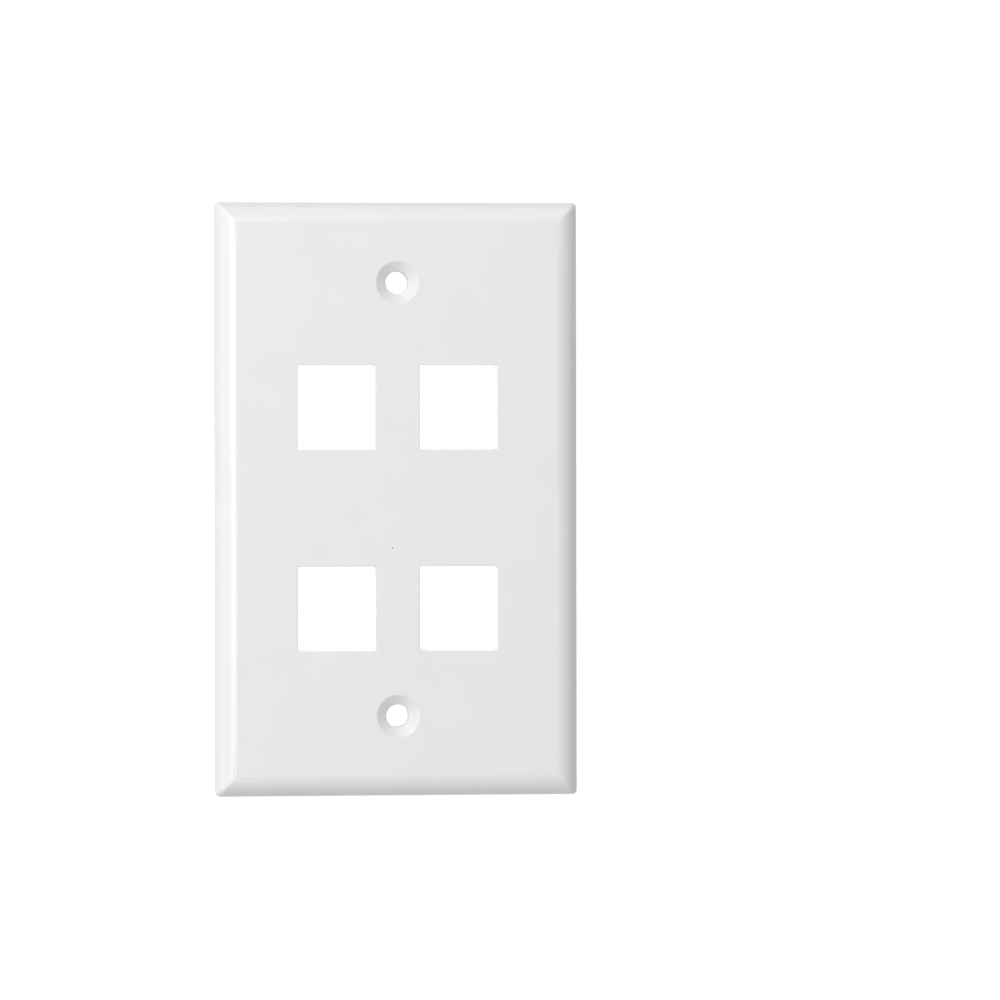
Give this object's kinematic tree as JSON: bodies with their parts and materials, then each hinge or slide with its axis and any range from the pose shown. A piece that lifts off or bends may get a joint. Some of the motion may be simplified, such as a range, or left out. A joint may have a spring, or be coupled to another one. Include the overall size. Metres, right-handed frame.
{
  "type": "keystone faceplate",
  "caption": "White single-gang keystone faceplate with square snap-in ports and countersunk screw holes.",
  "frame": {"origin": "middle of the plate's outline, at the level of the receptacle frames' rear ends", "axes": "+X to the right and +Y up as the plate is seen on the wall from the front, +Z out of the front face"},
  "size_m": [0.0698, 0.1142, 0.01],
  "materials": {
    "plate_plastic": "satin"
  },
  "bodies": {
    "root": {"faceplate": "plate_plastic"}
  },
  "joints": []
}
